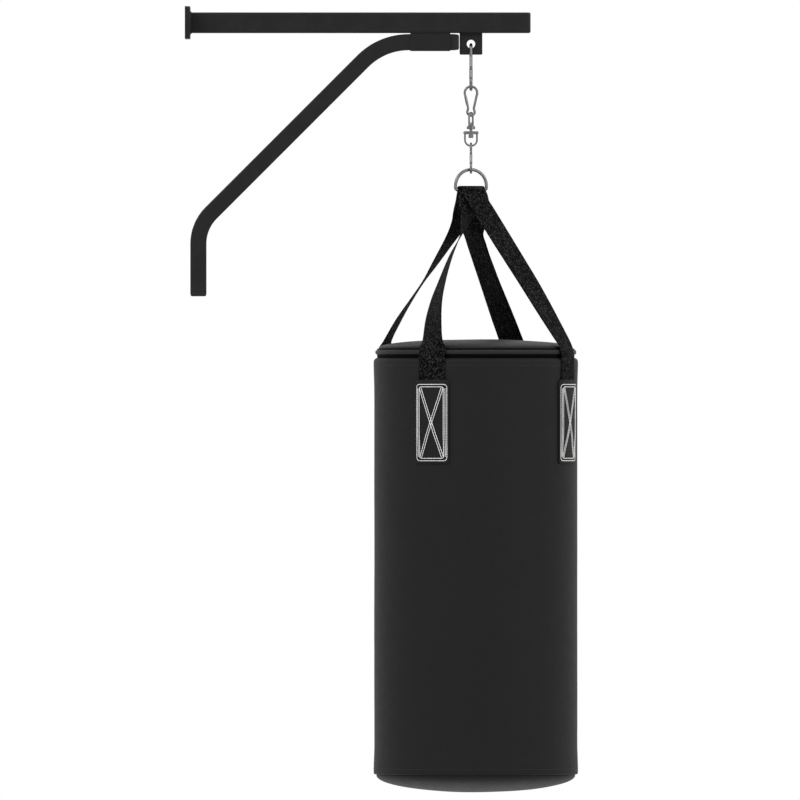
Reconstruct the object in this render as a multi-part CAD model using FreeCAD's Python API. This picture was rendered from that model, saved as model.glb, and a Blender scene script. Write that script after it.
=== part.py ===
import FreeCAD, Part
import math
import os

from FreeCAD import Matrix, Placement, Rotation, Vector

# Wall bracket with a hanging punching bag.
# Frame: the origin is the centre of the wall plate's back face. +X points away from the wall,
# +Y along the wall and +Z up. Millimetres and degrees.

# Wall plate and arm
PLATE_THICK = 8.0
PLATE_WIDE = 150.0
PLATE_TALL = 50.0
PLATE_CORNER = 4.0
PLATE_HOLE_R = 5.25
PLATE_HOLE_SPACING = 110.0
ARM_SIDE = 32.0
ARM_WALL = 2.0
ARM_CORNER = 3.0
ARM_END_X = 531.0
ARM_CAP_THICK = 4.5
ARM_CAP_INSERT = 18.0

# Bent brace under the arm
BRACE_SIDE = 25.0
BRACE_WALL = 2.0
BRACE_CORNER = 2.5
BRACE_TOP_Z = -30.1
BRACE_TOP_X = 416.0
BRACE_LEG_X = 20.6
BRACE_FOOT_Z = -418.0
BRACE_BEND_X = 305.0
BRACE_UPPER_BEND_R = 100.0
BRACE_LOWER_BEND_R = 67.0
BRACE_HOLE_R = 4.25
BRACE_HOLES_Z = (-358.0, -402.0)
PLUG_LENGTH = 8.6
FOOT_PLUG_LENGTH = 6.0
PLUG_LIP = 3.0
PLUG_INSERT = 14.0
SLEEVE_X = (349.0, 411.0)
SLEEVE_WALL = 1.2
FIT_GAP = 0.1

# Lug under the arm, with the hole that carries everything
HANG_X = 443.1
LUG_WIDE = 35.3
LUG_BOTTOM_Z = -49.5
LUG_THICK = 8.0
LUG_HOLE_Z = -32.9
LUG_HOLE_R = 6.5
LUG_CORNER = 2.0
LUG_HOLE_CHAMFER = 0.5

# Snap hooks. The narrow and wide ends are arcs about their own centres.
LINK_GAP = 0.3
LARGE_HOOK = {"wire": 2.5, "narrow": 7.1, "wide": 12.5, "length": 50.0, "waist": (6.9, 12.0), "hinge": 15.0}
SMALL_HOOK = {"wire": 1.9, "narrow": 5.7, "wide": 9.6, "length": 29.8, "waist": (4.3, 5.2), "hinge": 2.2}
UPPER_HOOK_Z = -41.0
GATE_PIN_RATIO = 0.42
GATE_SLOT = 0.3
GATE_EXTRA_R = 0.25
NOSE_TONGUE = 2.6

# Swivel between the two small hooks
EYE_WIRE = 1.5
EYE_HALF = 5.0
EYE_TURN = 55.0
EYE_LIFT = 1.05
COLLAR_R = 6.6
COLLAR_Z = (-165.0, -160.3)
RIVET_R = 2.3
RIVET_CLEARANCE = 0.06
RIVET_HEAD_R = 3.8
RIVET_HEAD_Z = (-178.6, -173.2)
BAR_Z = (-172.9, -168.1)
BAR_HALF = 9.3
BAR_DEPTH = 3.7
BOW_WIRE = 1.45
BOW_BOTTOM_Z = -192.3
BALL_R = 2.6

# D-ring
RING_WIRE = 2.5
RING_HALF = 25.35
RING_TALL = 31.5
RING_CORNER = 3.5

# Bag, its axis and its turn about Z
BAG_X = 450.6
BAG_TURN = 19.4
BODY_R = 158.4
BODY_TOP_Z = -519.3
BODY_BOTTOM_Z = -1165.0
SHELL_THICK = 2.0
SHOULDER_R = 6.0
HEM_R = 3.0
RIM_R = 155.8
RIM_Z = (-519.3, -504.9)
RIM_THICK = 9.0
RIM_ROUND = 4.2
TOP_DOME_R = 150.5
TOP_DOME_Z = (-504.0, -490.2)
BOTTOM_DOME_R = 154.2
BOTTOM_DOME_Z = (-1193.1, -1166.2)
COVER_THICK = 2.5

# Webbing straps and their sewn patches
WEB_WIDE = 45.0
WEB_WIDE_AT_RING = 41.5
WEB_THICK = 1.5
INNER_LOOP_R = 3.85
OUTER_LOOP_R = 5.6
LEG_LEAN = 28.0
LEG_END_Z = -640.0
PATCH_WIDE = 58.0
PATCH_Z = (-683.2, -553.7)
PATCH_THICK = 1.4
PATCH_CORNER = 4.0

# Each leg: the angle of its patch round the bag from the front (+ towards +X). Then, for each share
# of the way from the ring to the rim, how far it has turned about its own length, in degrees from
# the ring's bar, and how far it bows along X and along Y.
LEGS = {
    "front_right": {
        "azimuth": 64.4, "last_turn": 45.0,
        "turns": ((0, 0), (0.04, 8), (0.08, 19), (0.12, 20), (0.34, 23), (0.63, 27), (0.8, 32),
                  (1, 42)),
        "bows": ((0, 0, 0), (0.08, -2, -0.8), (0.34, -1, -0.4), (0.63, 1, 0), (1, 0, 0)),
    },
    "back_right": {
        "azimuth": 158.0, "last_turn": -41.4,
        "turns": ((0, 0), (0.08, -2), (0.15, -12), (0.2, -26), (0.25, -48), (0.3, -68), (0.43, -69),
                  (0.63, -65), (0.8, -57), (1, -50)),
        "bows": ((0, 0, 0), (0.1, -6, 4), (0.29, -14, 5), (0.43, -12.5, 2), (0.63, -8.5, 0),
                 (0.8, -4.3, 0), (1, 0, 0)),
    },
    "front_left": {
        "azimuth": -25.6, "last_turn": 135.0,
        "turns": ((0, 0), (0.04, 8), (0.08, 20), (0.16, 43), (0.3, 68), (0.43, 76), (0.61, 84),
                  (0.81, 97), (1, 114)),
        "bows": ((0, 0, 0), (0.08, 2.5, 1.1), (0.18, 4.3, 2), (0.3, 1, 1), (0.45, -7.5, 0),
                 (0.69, -12.5, 0), (0.89, -8.5, 0), (1, -2, 0)),
    },
    "back_left": {
        "azimuth": -115.6, "last_turn": 45.0,
        "turns": ((0, 0), (0.08, 4), (0.15, 12), (0.2, 22), (0.25, 36), (0.32, 47), (0.53, 61), (0.63, 70),
                  (0.82, 60), (1, 53)),
        "bows": ((0, 0, 0), (0.08, 7, 0), (0.2, 14, 0), (0.32, 11.4, 0), (0.53, 6.4, 0), (0.63, 3.4, 0),
                 (0.82, -2.5, 0), (1, -2, 0)),
    },
}
STRAPS = {
    "inner_strap": ("front_left", "back_left", INNER_LOOP_R),
    "outer_strap": ("front_right", "back_right", OUTER_LOOP_R),
}
LEG_SHARES = (0.04, 0.08, 0.12, 0.16, 0.2, 0.25, 0.3, 0.36, 0.42, 0.5, 0.6, 0.72, 0.85, 1.0)
# Past the rim: how far in from its place on the bag each section lies, its height, and if it hugs.
LEG_OVER_RIM = ((4.6, -502.4, 0), (1.7, -508.5, 1), (0.2, -520.0, 1), (0.0, -535.0, 1), (0.0, LEG_END_Z, 1))
LEG_RIM_INSET = 8.6
LEG_RIM_RISE = 9.0
LOOP_STEPS = 8
WEB_STEPS = (-1.0, -0.6, -0.2, 0.2, 0.6, 1.0)
WEB_GAP = 0.3

UP = Vector(0, 0, 1)


def box(low, high):
    """A block from its lowest corner to its highest."""
    size = [b - a for a, b in zip(low, high)]
    return Part.makeBox(size[0], size[1], size[2], Vector(*low))


def rod(start, end, radius):
    """A round bar from start to end."""
    along = end - start
    return Part.makeCylinder(radius, along.Length, start, along)


def rounded_wire(points, radii, closed=False):
    """Straight runs through the points, with a tangent arc of the given radius at each corner."""
    count = len(points)
    corners = range(count) if closed else range(1, count - 1)
    entry = {}
    leave = {}
    middle = {}
    for i in corners:
        here = points[i]
        back = (points[i - 1] - here).normalize()
        ahead = (points[(i + 1) % count] - here).normalize()
        half_angle = back.getAngle(ahead) / 2
        reach = radii[i] / math.tan(half_angle)
        inward = (back + ahead).normalize()
        entry[i] = here + back * reach
        leave[i] = here + ahead * reach
        middle[i] = here + inward * (radii[i] / math.sin(half_angle) - radii[i])
    edges = []
    first = 0
    last = count if closed else count - 1
    for i in range(first, last):
        j = (i + 1) % count
        if i in middle:
            edges.append(Part.Arc(entry[i], middle[i], leave[i]).toShape())
        start = leave.get(i, points[i])
        end = entry.get(j, points[j])
        if (end - start).Length > 1e-4:
            edges.append(Part.LineSegment(start, end).toShape())
    return Part.Wire(edges)


def sweep(path, profile):
    """A solid of one closed profile carried along a path."""
    return path.makePipeShell([profile], True, False)


def wire_start(path):
    """The first point of a path and its direction there."""
    edge = path.Edges[0]
    low = edge.FirstParameter
    return edge.valueAt(low), edge.tangentAt(low)


def round_bar(path, radius):
    """A bent round wire."""
    at, along = wire_start(path)
    return sweep(path, Part.Wire([Part.makeCircle(radius, at, along)]))


def square_section(centre, side, corner, across, up):
    """A closed square with rounded corners, centred at a point in the plane of two directions."""
    half = side / 2
    signs = ((-1, -1), (1, -1), (1, 1), (-1, 1))
    corners = [centre + across * (half * a) + up * (half * b) for a, b in signs]
    return rounded_wire(corners, [corner] * 4, closed=True)


def square_tube(path, side, wall, corner, across, up):
    """A hollow square tube along a path; across and up lie in the plane of its first section."""
    at, _ = wire_start(path)
    outside = sweep(path, square_section(at, side, corner, across, up))
    inside_corner = max(corner - wall, 0.5)
    inside = sweep(path, square_section(at, side - 2 * wall, inside_corner, across, up))
    return outside.cut(inside)


def straight_square(start, end, side, corner, across, up):
    """A straight solid bar of square section with rounded edges."""
    section = Part.Face(square_section(start, side, corner, across, up))
    return section.extrude(end - start)


def tangent_slant(radius, waist):
    """The slant from the length of a line that passes the waist and touches an end circle."""
    half, drop = waist
    distance = math.hypot(half, drop)
    return math.atan2(drop, half) - math.acos(radius / distance)


def make_wall_plate():
    plate = box((0, -PLATE_WIDE / 2, -PLATE_TALL / 2), (PLATE_THICK, PLATE_WIDE / 2, PLATE_TALL / 2))
    corner_edges = [e for e in plate.Edges if abs(e.BoundBox.XLength - PLATE_THICK) < 1e-3]
    plate = plate.makeFillet(PLATE_CORNER, corner_edges)
    for side in (-1, 1):
        y = side * PLATE_HOLE_SPACING / 2
        plate = plate.cut(rod(Vector(-1, y, 0), Vector(PLATE_THICK + 1, y, 0), PLATE_HOLE_R))
    front_edges = [
        e for e in plate.Edges
        if e.BoundBox.XLength < 1e-3 and abs(e.BoundBox.XMin - PLATE_THICK) < 1e-3
        and e.BoundBox.YLength > 1e-3
        and not (isinstance(e.Curve, Part.Circle) and e.Closed)
    ]
    return plate.makeChamfer(0.6, front_edges)


def make_arm_tube():
    path = Part.Wire([Part.LineSegment(Vector(PLATE_THICK, 0, 0), Vector(ARM_END_X, 0, 0)).toShape()])
    return square_tube(path, ARM_SIDE, ARM_WALL, ARM_CORNER, Vector(0, 1, 0), UP)


def plug(face, direction, side, wall, corner, length, lip, insert, across):
    """A push-in end plug: a soft-edged head with a lip, and a ribbed stem inside the tube."""
    up = direction.cross(across)
    head = straight_square(face + direction * lip, face + direction * length, side - 1.0, corner, across, up)
    end = face + direction * length
    rim = [e for e in head.Edges if abs((e.CenterOfMass - end).dot(direction)) < 1e-3]
    head = head.makeFillet(min(3.0, length - lip - 0.6), rim)
    collar = straight_square(face, face + direction * lip, side, corner, across, up)
    stem_side = side - 2 * wall - 2 * FIT_GAP
    stem = straight_square(face - direction * insert, face, stem_side - 1.6, 1.0, across, up)
    body = head.fuse(collar).fuse(stem)
    for k in range(3):
        at = face - direction * (2.5 + 4.0 * k)
        rib = straight_square(at - direction * 1.2, at, stem_side, 1.0, across, up)
        body = body.fuse(rib)
    return body.removeSplitter()


def make_arm_end_cap():
    along = Vector(1, 0, 0)
    face = Vector(ARM_END_X, 0, 0)
    across = Vector(0, 1, 0)
    head = straight_square(face, face + along * ARM_CAP_THICK, ARM_SIDE, 5.0, across, UP)
    rim = [e for e in head.Edges if abs(e.CenterOfMass.x - ARM_END_X - ARM_CAP_THICK) < 1e-3]
    head = head.makeFillet(2.6, rim)
    stem_side = ARM_SIDE - 2 * ARM_WALL - 2 * FIT_GAP
    stem = straight_square(face - along * ARM_CAP_INSERT, face, stem_side - 1.6, 1.0, across, UP)
    body = head.fuse(stem)
    for k in range(4):
        at = face - along * (2.5 + 4.0 * k)
        body = body.fuse(straight_square(at - along * 1.2, at, stem_side, 1.0, across, UP))
    return body.removeSplitter()


def brace_path():
    bend_z = BRACE_TOP_Z - (BRACE_BEND_X - BRACE_LEG_X)
    points = [
        Vector(BRACE_TOP_X, 0, BRACE_TOP_Z),
        Vector(BRACE_BEND_X, 0, BRACE_TOP_Z),
        Vector(BRACE_LEG_X, 0, bend_z),
        Vector(BRACE_LEG_X, 0, BRACE_FOOT_Z),
    ]
    return rounded_wire(points, [0, BRACE_UPPER_BEND_R, BRACE_LOWER_BEND_R, 0])


def make_brace_tube():
    tube = square_tube(brace_path(), BRACE_SIDE, BRACE_WALL, BRACE_CORNER, Vector(0, 1, 0), UP)
    for z in BRACE_HOLES_Z:
        across = rod(Vector(0, 0, z), Vector(2 * BRACE_LEG_X, 0, z), BRACE_HOLE_R)
        tube = tube.cut(across)
    return tube


def make_brace_sleeve():
    inside = BRACE_SIDE / 2 + FIT_GAP
    outside = inside + SLEEVE_WALL
    low_x, high_x = SLEEVE_X
    outer = box((low_x, -outside, BRACE_TOP_Z - outside), (high_x, outside, -ARM_SIDE / 2))
    long_edges = [
        e for e in outer.Edges
        if abs(e.BoundBox.XLength - (high_x - low_x)) < 1e-3 and e.CenterOfMass.z < BRACE_TOP_Z
    ]
    outer = outer.makeFillet(BRACE_CORNER + SLEEVE_WALL, long_edges)
    start = Vector(low_x - 1, 0, BRACE_TOP_Z)
    end = Vector(high_x + 1, 0, BRACE_TOP_Z)
    hollow = straight_square(start, end, 2 * inside, BRACE_CORNER, Vector(0, 1, 0), UP)
    return outer.cut(hollow)


def make_hanger_lug():
    half = LUG_WIDE / 2
    lug = box((HANG_X - half, -LUG_THICK / 2, LUG_BOTTOM_Z), (HANG_X + half, LUG_THICK / 2, -ARM_SIDE / 2))
    lower = [
        e for e in lug.Edges
        if abs(e.BoundBox.YLength - LUG_THICK) < 1e-3 and abs(e.CenterOfMass.z - LUG_BOTTOM_Z) < 1e-3
    ]
    lug = lug.makeFillet(LUG_CORNER, lower)
    centre = Vector(HANG_X, 0, LUG_HOLE_Z)
    reach = Vector(0, LUG_THICK, 0)
    lug = lug.cut(rod(centre - reach, centre + reach, LUG_HOLE_R))
    for side in (-1, 1):
        face = centre + Vector(0, side * LUG_THICK / 2, 0)
        inward = Vector(0, -side, 0)
        cone = Part.makeCone(LUG_HOLE_R + LUG_HOLE_CHAMFER, LUG_HOLE_R, LUG_HOLE_CHAMFER, face, inward)
        lug = lug.cut(cone)
    return lug


def snap_hook(size):
    """A bent-wire snap hook with its sprung gate and the gate's pin.

    It is drawn flat in XZ with the narrow end up. The narrow end's centre is at the origin, the
    wide end's is below it, and the gate is on the +X side. Returns the three solids, the pin's
    centre and the two narrowest half-widths that a next link has to pass.
    """
    wire = size["wire"]
    half, drop = size["waist"]
    rise = size["length"] - drop
    narrow_slant = tangent_slant(size["narrow"], (half, drop))
    wide_slant = tangent_slant(size["wide"], (half, rise))
    top_corner = half + (drop + size["narrow"]) * math.tan(narrow_slant)
    low_corner = half + (rise + size["wide"]) * math.tan(wide_slant)
    top_z = size["narrow"]
    low_z = -size["length"] - size["wide"]

    down = Vector(math.sin(wide_slant), 0, -math.cos(wide_slant))
    waist = Vector(half, 0, -drop)
    shoulder = waist + down * size["hinge"]
    gate_r = wire + GATE_EXTRA_R
    pin_at = shoulder + down * (gate_r + 0.5)
    touch = (rise / math.cos(wide_slant)) - size["wide"] * math.tan(wide_slant)
    nose = waist + down * (touch - 1.0)

    path = [
        shoulder,
        waist,
        Vector(top_corner, 0, top_z),
        Vector(-top_corner, 0, top_z),
        Vector(-half, 0, -drop),
        Vector(-low_corner, 0, low_z),
        Vector(low_corner, 0, low_z),
        nose,
    ]
    waist_r = 3.0 * wire
    radii = [0, min(waist_r, 2.6 * size["hinge"] + wire), size["narrow"] - 1e-3, size["narrow"] - 1e-3,
             waist_r, size["wide"] - 1e-3, size["wide"] - 1e-3, 0]
    body = round_bar(rounded_wire(path, radii), wire)

    pin_r = GATE_PIN_RATIO * wire
    tongue_half = 0.4 * wire
    tongue_wide = 0.72 * wire
    side = Vector(0, 1, 0)
    lateral = side.cross(down)

    def slab(start, end, half_wide, half_thick):
        base = start - lateral * half_wide - side * half_thick
        corners = [base, base + lateral * (2 * half_wide),
                   base + lateral * (2 * half_wide) + side * (2 * half_thick),
                   base + side * (2 * half_thick), base]
        return Part.Face(Part.makePolygon(corners)).extrude(end - start)

    hinge_tongue = slab(shoulder - down * 0.5, pin_at, tongue_wide, tongue_half)
    hinge_round = rod(pin_at - side * tongue_half, pin_at + side * tongue_half, tongue_wide)
    nose_tongue = slab(nose + down * 0.5, nose - down * NOSE_TONGUE, tongue_wide, tongue_half)
    body = body.fuse(hinge_tongue).fuse(hinge_round).fuse(nose_tongue)
    hole = rod(pin_at - side * wire, pin_at + side * wire, pin_r + RIVET_CLEARANCE)
    body = body.cut(hole).removeSplitter()

    gate_end = nose - down * 0.45
    gate = rod(pin_at, gate_end, gate_r).fuse(Part.makeSphere(gate_r, pin_at))
    slot_half = tongue_half + GATE_SLOT
    hinge_slot = slab(pin_at - down * (gate_r + 1), pin_at + down * (tongue_wide + 0.5),
                      gate_r + 1, slot_half)
    nose_slot = slab(gate_end - down * (NOSE_TONGUE + 0.2), gate_end + down * 1, gate_r + 1, slot_half)
    gate = gate.cut(hinge_slot).cut(nose_slot)
    pin_half = 0.9 * gate_r
    gate = gate.cut(rod(pin_at - side * (gate_r + 1), pin_at + side * (gate_r + 1), pin_r)).removeSplitter()
    pin = rod(pin_at - side * pin_half, pin_at + side * pin_half, pin_r)
    return body, gate, pin, pin_at


def placed(shape, placement):
    """A copy of a shape moved by a placement."""
    moved = shape.copy()
    moved.Placement = placement.multiply(moved.Placement)
    return moved


def hook_placements():
    """Where each hook's own frame lies, and the height that its neighbours are set from."""
    large, small = LARGE_HOOK, SMALL_HOOK
    front_gate = Rotation(UP, -90)
    upper = Placement(Vector(HANG_X, 0, UPPER_HOOK_Z), front_gate)
    upper_wide_z = UPPER_HOOK_Z - large["length"]
    seat = upper_wide_z - (large["wide"] - large["wire"])
    middle_wide_z = seat + LINK_GAP + small["wire"] * 2 - small["wide"] - small["wire"]
    middle_narrow_z = middle_wide_z - small["length"]
    upside_down = Rotation(Vector(0, 1, 0), 180)
    middle = Placement(Vector(HANG_X, 0, middle_narrow_z), upside_down)
    bow_centre = BOW_BOTTOM_Z + BOW_WIRE + BAR_HALF
    lower_narrow_z = BOW_BOTTOM_Z + 2 * BOW_WIRE + LINK_GAP - (small["narrow"] - small["wire"])
    lower = Placement(Vector(HANG_X, 0, lower_narrow_z), front_gate)
    lower_wide_z = lower_narrow_z - small["length"]
    return {
        "upper": upper, "middle": middle, "lower": lower, "upper_wide_z": upper_wide_z,
        "middle_narrow_z": middle_narrow_z, "bow_centre": bow_centre, "lower_wide_z": lower_wide_z,
    }


def make_swivel_eye(middle_narrow_z):
    """A flat-sided eye on a round collar, its plane turned about Z."""
    small = SMALL_HOOK
    seat = middle_narrow_z - (small["narrow"] - small["wire"])
    top = seat + EYE_LIFT + EYE_WIRE
    arc_z = top - EYE_HALF
    low_arc_z = COLLAR_Z[1] + EYE_HALF + 1.8
    outline = [
        Vector(EYE_HALF, 0, low_arc_z), Vector(EYE_HALF, 0, top),
        Vector(-EYE_HALF, 0, top), Vector(-EYE_HALF, 0, low_arc_z),
    ]
    loop = round_bar(rounded_wire(outline, [0, EYE_HALF - 1e-3, EYE_HALF - 1e-3, 0]), EYE_WIRE)
    half = EYE_HALF + EYE_WIRE
    block = box((-half, -EYE_WIRE, COLLAR_Z[1]), (half, EYE_WIRE, low_arc_z))
    outer_edges = [e for e in block.Edges if abs(e.BoundBox.ZLength - (low_arc_z - COLLAR_Z[1])) < 1e-3]
    block = block.makeFillet(EYE_WIRE - 0.05, outer_edges)
    inner = EYE_HALF - EYE_WIRE
    window = rod(Vector(0, -5, low_arc_z), Vector(0, 5, low_arc_z), inner)
    eye = loop.fuse(block.cut(window)).removeSplitter()
    collar = rod(Vector(0, 0, COLLAR_Z[0]), Vector(0, 0, COLLAR_Z[1]), COLLAR_R)
    collar = collar.makeChamfer(0.6, [e for e in collar.Edges if e.Closed])
    eye = eye.fuse(collar)
    eye = eye.cut(rod(Vector(0, 0, COLLAR_Z[0] - 1), Vector(0, 0, COLLAR_Z[0] + 3.0), RIVET_R))
    return placed(eye, Placement(Vector(HANG_X, 0, 0), Rotation(UP, EYE_TURN)))


def make_swivel_rivet():
    top = Vector(HANG_X, 0, COLLAR_Z[0] + 3.0)
    head_top = Vector(HANG_X, 0, RIVET_HEAD_Z[1])
    head_bottom = Vector(HANG_X, 0, RIVET_HEAD_Z[0])
    head = rod(head_bottom, head_top, RIVET_HEAD_R)
    lower = [e for e in head.Edges if e.Closed and abs(e.CenterOfMass.z - RIVET_HEAD_Z[0]) < 1e-3]
    head = head.makeFillet(1.2, lower)
    return head.fuse(rod(head_top, top, RIVET_R)).removeSplitter()


def make_swivel_yoke():
    """Cross-bar and U-shaped bow, forged in one, turning on the rivet."""
    low, high = BAR_Z
    middle = (low + high) / 2
    bar = box((-BAR_HALF, -BAR_DEPTH, low), (BAR_HALF, BAR_DEPTH, high))
    upright = [e for e in bar.Edges if abs(e.BoundBox.ZLength - (high - low)) < 1e-3]
    bar = bar.makeFillet(3.0, upright)
    waist_cut = None
    for side in (-1, 1):
        for end in (-1, 1):
            cut = rod(Vector(end * 7.4, side * 4.9, low - 1), Vector(end * 7.4, side * 4.9, high + 1), 2.2)
            waist_cut = cut if waist_cut is None else waist_cut.fuse(cut)
    bar = bar.cut(waist_cut)
    base = BOW_BOTTOM_Z + BOW_WIRE
    points = [Vector(x, 0, z) for x, z in
              ((-BAR_HALF, middle), (-BAR_HALF, base), (BAR_HALF, base), (BAR_HALF, middle))]
    bow = round_bar(rounded_wire(points, [0, BAR_HALF - 1e-3, BAR_HALF - 1e-3, 0]), BOW_WIRE)
    yoke = bar.fuse(bow)
    for end in (-1, 1):
        yoke = yoke.fuse(Part.makeSphere(BALL_R, Vector(end * BAR_HALF, 0, middle)))
    hole = rod(Vector(0, 0, low - 1), Vector(0, 0, high + 1), RIVET_R + RIVET_CLEARANCE)
    yoke = yoke.cut(hole)
    return placed(yoke, Placement(Vector(HANG_X, 0, 0), Rotation()))


def ring_bar_z(lower_wide_z):
    """Height of the D-ring's straight bar, from the lower hook that carries the ring."""
    seat = lower_wide_z - (SMALL_HOOK["wide"] - SMALL_HOOK["wire"])
    return seat + LINK_GAP + RING_WIRE - RING_TALL


def make_d_ring(bar_z):
    top = bar_z + RING_TALL
    points = [Vector(x, 0, z) for x, z in
              ((0, bar_z), (RING_HALF, bar_z), (RING_HALF, top), (-RING_HALF, top), (-RING_HALF, bar_z))]
    radii = [0, RING_CORNER, RING_HALF - 1e-3, RING_HALF - 1e-3, RING_CORNER]
    path = rounded_wire(points + [points[0]], radii + [0])
    return placed(round_bar(path, RING_WIRE), Placement(Vector(HANG_X, 0, 0), Rotation(UP, BAG_TURN)))


def between(table, share, column=1):
    """The value in a column at a share, in straight runs between the rows of a table of shares."""
    for before, after in zip(table, table[1:]):
        if share <= after[0]:
            along = (share - before[0]) / (after[0] - before[0])
            return before[column] + (after[column] - before[column]) * along
    return table[-1][column]


def flat_direction(angle):
    """A level direction, by its angle from +X."""
    return Vector(math.cos(math.radians(angle)), math.sin(math.radians(angle)), 0)


def web_section(centre, along, flat, width, hug):
    """The corners of a level cut through the webbing; hug is 1 where it lies round the bag, else 0."""
    skew = math.sqrt(1 - flat.dot(along) ** 2)
    across = flat * (1 / skew)
    thick = flat.cross(along).normalize()
    if hug:
        thick = Vector(centre.x - BAG_X, centre.y, 0).normalize()
    corners = []
    for side, steps in ((-1, WEB_STEPS), (1, WEB_STEPS[::-1])):
        for step in steps:
            x = width / 2 * step
            sag = hug * x * x / (2 * BODY_R)
            corners.append(centre + across * x + thick * (WEB_THICK / 2 * side - sag))
    return corners


def skinned(sections):
    """A closed solid of flat triangles through sections that have the same number of corners."""
    count = len(sections[0])
    triangles = []
    for low, high in zip(sections, sections[1:]):
        for i in range(count):
            j = (i + 1) % count
            triangles.append((low[i], low[j], high[j]))
            triangles.append((low[i], high[j], high[i]))
    faces = [Part.Face(Part.makePolygon([a, b, c, a])) for a, b, c in triangles]
    half = count // 2
    for section in (sections[0], sections[-1]):
        for i in range(half - 1):
            a, b, c, d = section[i], section[i + 1], section[count - 2 - i], section[count - 1 - i]
            faces.append(Part.Face(Part.makePolygon([a, b, c, a])))
            faces.append(Part.Face(Part.makePolygon([a, c, d, a])))
    shell = Part.makeShell(faces)
    shell.sewShape()
    solid = Part.Solid(shell)
    if solid.Volume < 0:
        solid.reverse()
    return solid


def ring_normal():
    """The level direction that the D-ring faces, towards the front."""
    return flat_direction(BAG_TURN - 90)


def leg_stations(leg, loop_r, bar_z, front):
    """Sections of the webbing down one leg, from just below the ring to the end under the patch."""
    outward = flat_direction(leg["azimuth"] - 90)
    axis = Vector(BAG_X, 0, 0)
    lean = math.radians(LEG_LEAN)
    loop_side = ring_normal() * (front * math.cos(lean)) + UP * math.sin(lean)
    start = Vector(HANG_X, 0, bar_z) + loop_side * loop_r
    web_r = BODY_R + WEB_THICK / 2 + WEB_GAP
    rim = axis + outward * (web_r - LEG_RIM_INSET) + UP * (RIM_Z[1] + LEG_RIM_RISE)
    rows = []
    for share in LEG_SHARES:
        centre = start + (rim - start) * share
        centre = centre + Vector(between(leg["bows"], share, 1), between(leg["bows"], share, 2), 0)
        angle = BAG_TURN + between(leg["turns"], share)
        width = WEB_WIDE_AT_RING + (WEB_WIDE - WEB_WIDE_AT_RING) * min(share * 3, 1)
        rows.append((centre, flat_direction(angle), width, 0))
    last = flat_direction(BAG_TURN + leg["last_turn"])
    for inset, z, hug in LEG_OVER_RIM:
        rows.append((axis + outward * (web_r - inset) + UP * z, last, WEB_WIDE, hug))
    points = [start] + [row[0] for row in rows] + [rows[-1][0] - UP * 10]
    sections = []
    for i, (centre, flat, width, hug) in enumerate(rows):
        along = (points[i] - points[i + 2]).normalize()
        sections.append(web_section(centre, along, flat, width, hug))
    return sections


def loop_sections(loop_r, bar_z):
    """Sections of the webbing over the ring's bar, from the front to the back."""
    sections = []
    for k in range(LOOP_STEPS + 1):
        angle = math.radians(LEG_LEAN + (180 - 2 * LEG_LEAN) * k / LOOP_STEPS)
        outward = ring_normal() * math.cos(angle) + UP * math.sin(angle)
        along = UP * math.cos(angle) - ring_normal() * math.sin(angle)
        centre = Vector(HANG_X, 0, bar_z) + outward * loop_r
        sections.append(web_section(centre, along, flat_direction(BAG_TURN), WEB_WIDE_AT_RING, 0))
    return sections


def matched(section, before):
    """The same section listed so that its corners follow on from the one before."""
    half = len(section) // 2
    ways = [section, section[half:] + section[:half]]
    mirrored = [section[:half][::-1] + section[half:][::-1]]
    ways += mirrored + [m[half:] + m[:half] for m in mirrored]
    return min(ways, key=lambda way: sum((a - b).Length for a, b in zip(way, before)))


def make_strap(first, second, loop_r, bar_z):
    """One strap: up one leg, over the ring's bar and down the other."""
    over = loop_sections(loop_r, bar_z)
    sections = list(over)
    for section in leg_stations(LEGS[second], loop_r, bar_z, -1):
        sections.append(matched(section, sections[-1]))
    for section in leg_stations(LEGS[first], loop_r, bar_z, 1):
        sections.insert(0, matched(section, sections[0]))
    return skinned(sections)


def make_patch(azimuth):
    """A sewn patch: a curved plate that covers the end of a strap."""
    inner = BODY_R + WEB_THICK + 0.4
    outer = inner + PATCH_THICK
    low, high = PATCH_Z
    ring = rod(Vector(0, 0, low), Vector(0, 0, high), outer)
    ring = ring.cut(rod(Vector(0, 0, low - 1), Vector(0, 0, high + 1), inner))
    outline = [Vector(-PATCH_WIDE / 2, 0, low), Vector(PATCH_WIDE / 2, 0, low),
               Vector(PATCH_WIDE / 2, 0, high), Vector(-PATCH_WIDE / 2, 0, high)]
    window = Part.Face(rounded_wire(outline, [PATCH_CORNER] * 4, closed=True))
    window = window.extrude(Vector(0, -2 * outer, 0))
    return placed(ring.common(window), Placement(Vector(BAG_X, 0, 0), Rotation(UP, azimuth)))


def revolved(points):
    """A solid of revolution about the bag's axis from straight (radius, height) points."""
    corners = [Vector(r, 0, z) for r, z in points]
    face = Part.Face(Part.makePolygon(corners + [corners[0]]))
    return placed(face.revolve(Vector(0, 0, 0), UP, 360), Placement(Vector(BAG_X, 0, 0), Rotation()))


def half_ellipse(radius, height, inset, share_steps):
    """Points of a domed section from its edge to its centre, drawn in by an inset."""
    points = []
    for k in range(share_steps + 1):
        angle = math.pi / 2 * k / share_steps
        points.append(((radius - inset) * math.cos(angle), (height - inset) * math.sin(angle)))
    return points


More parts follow.
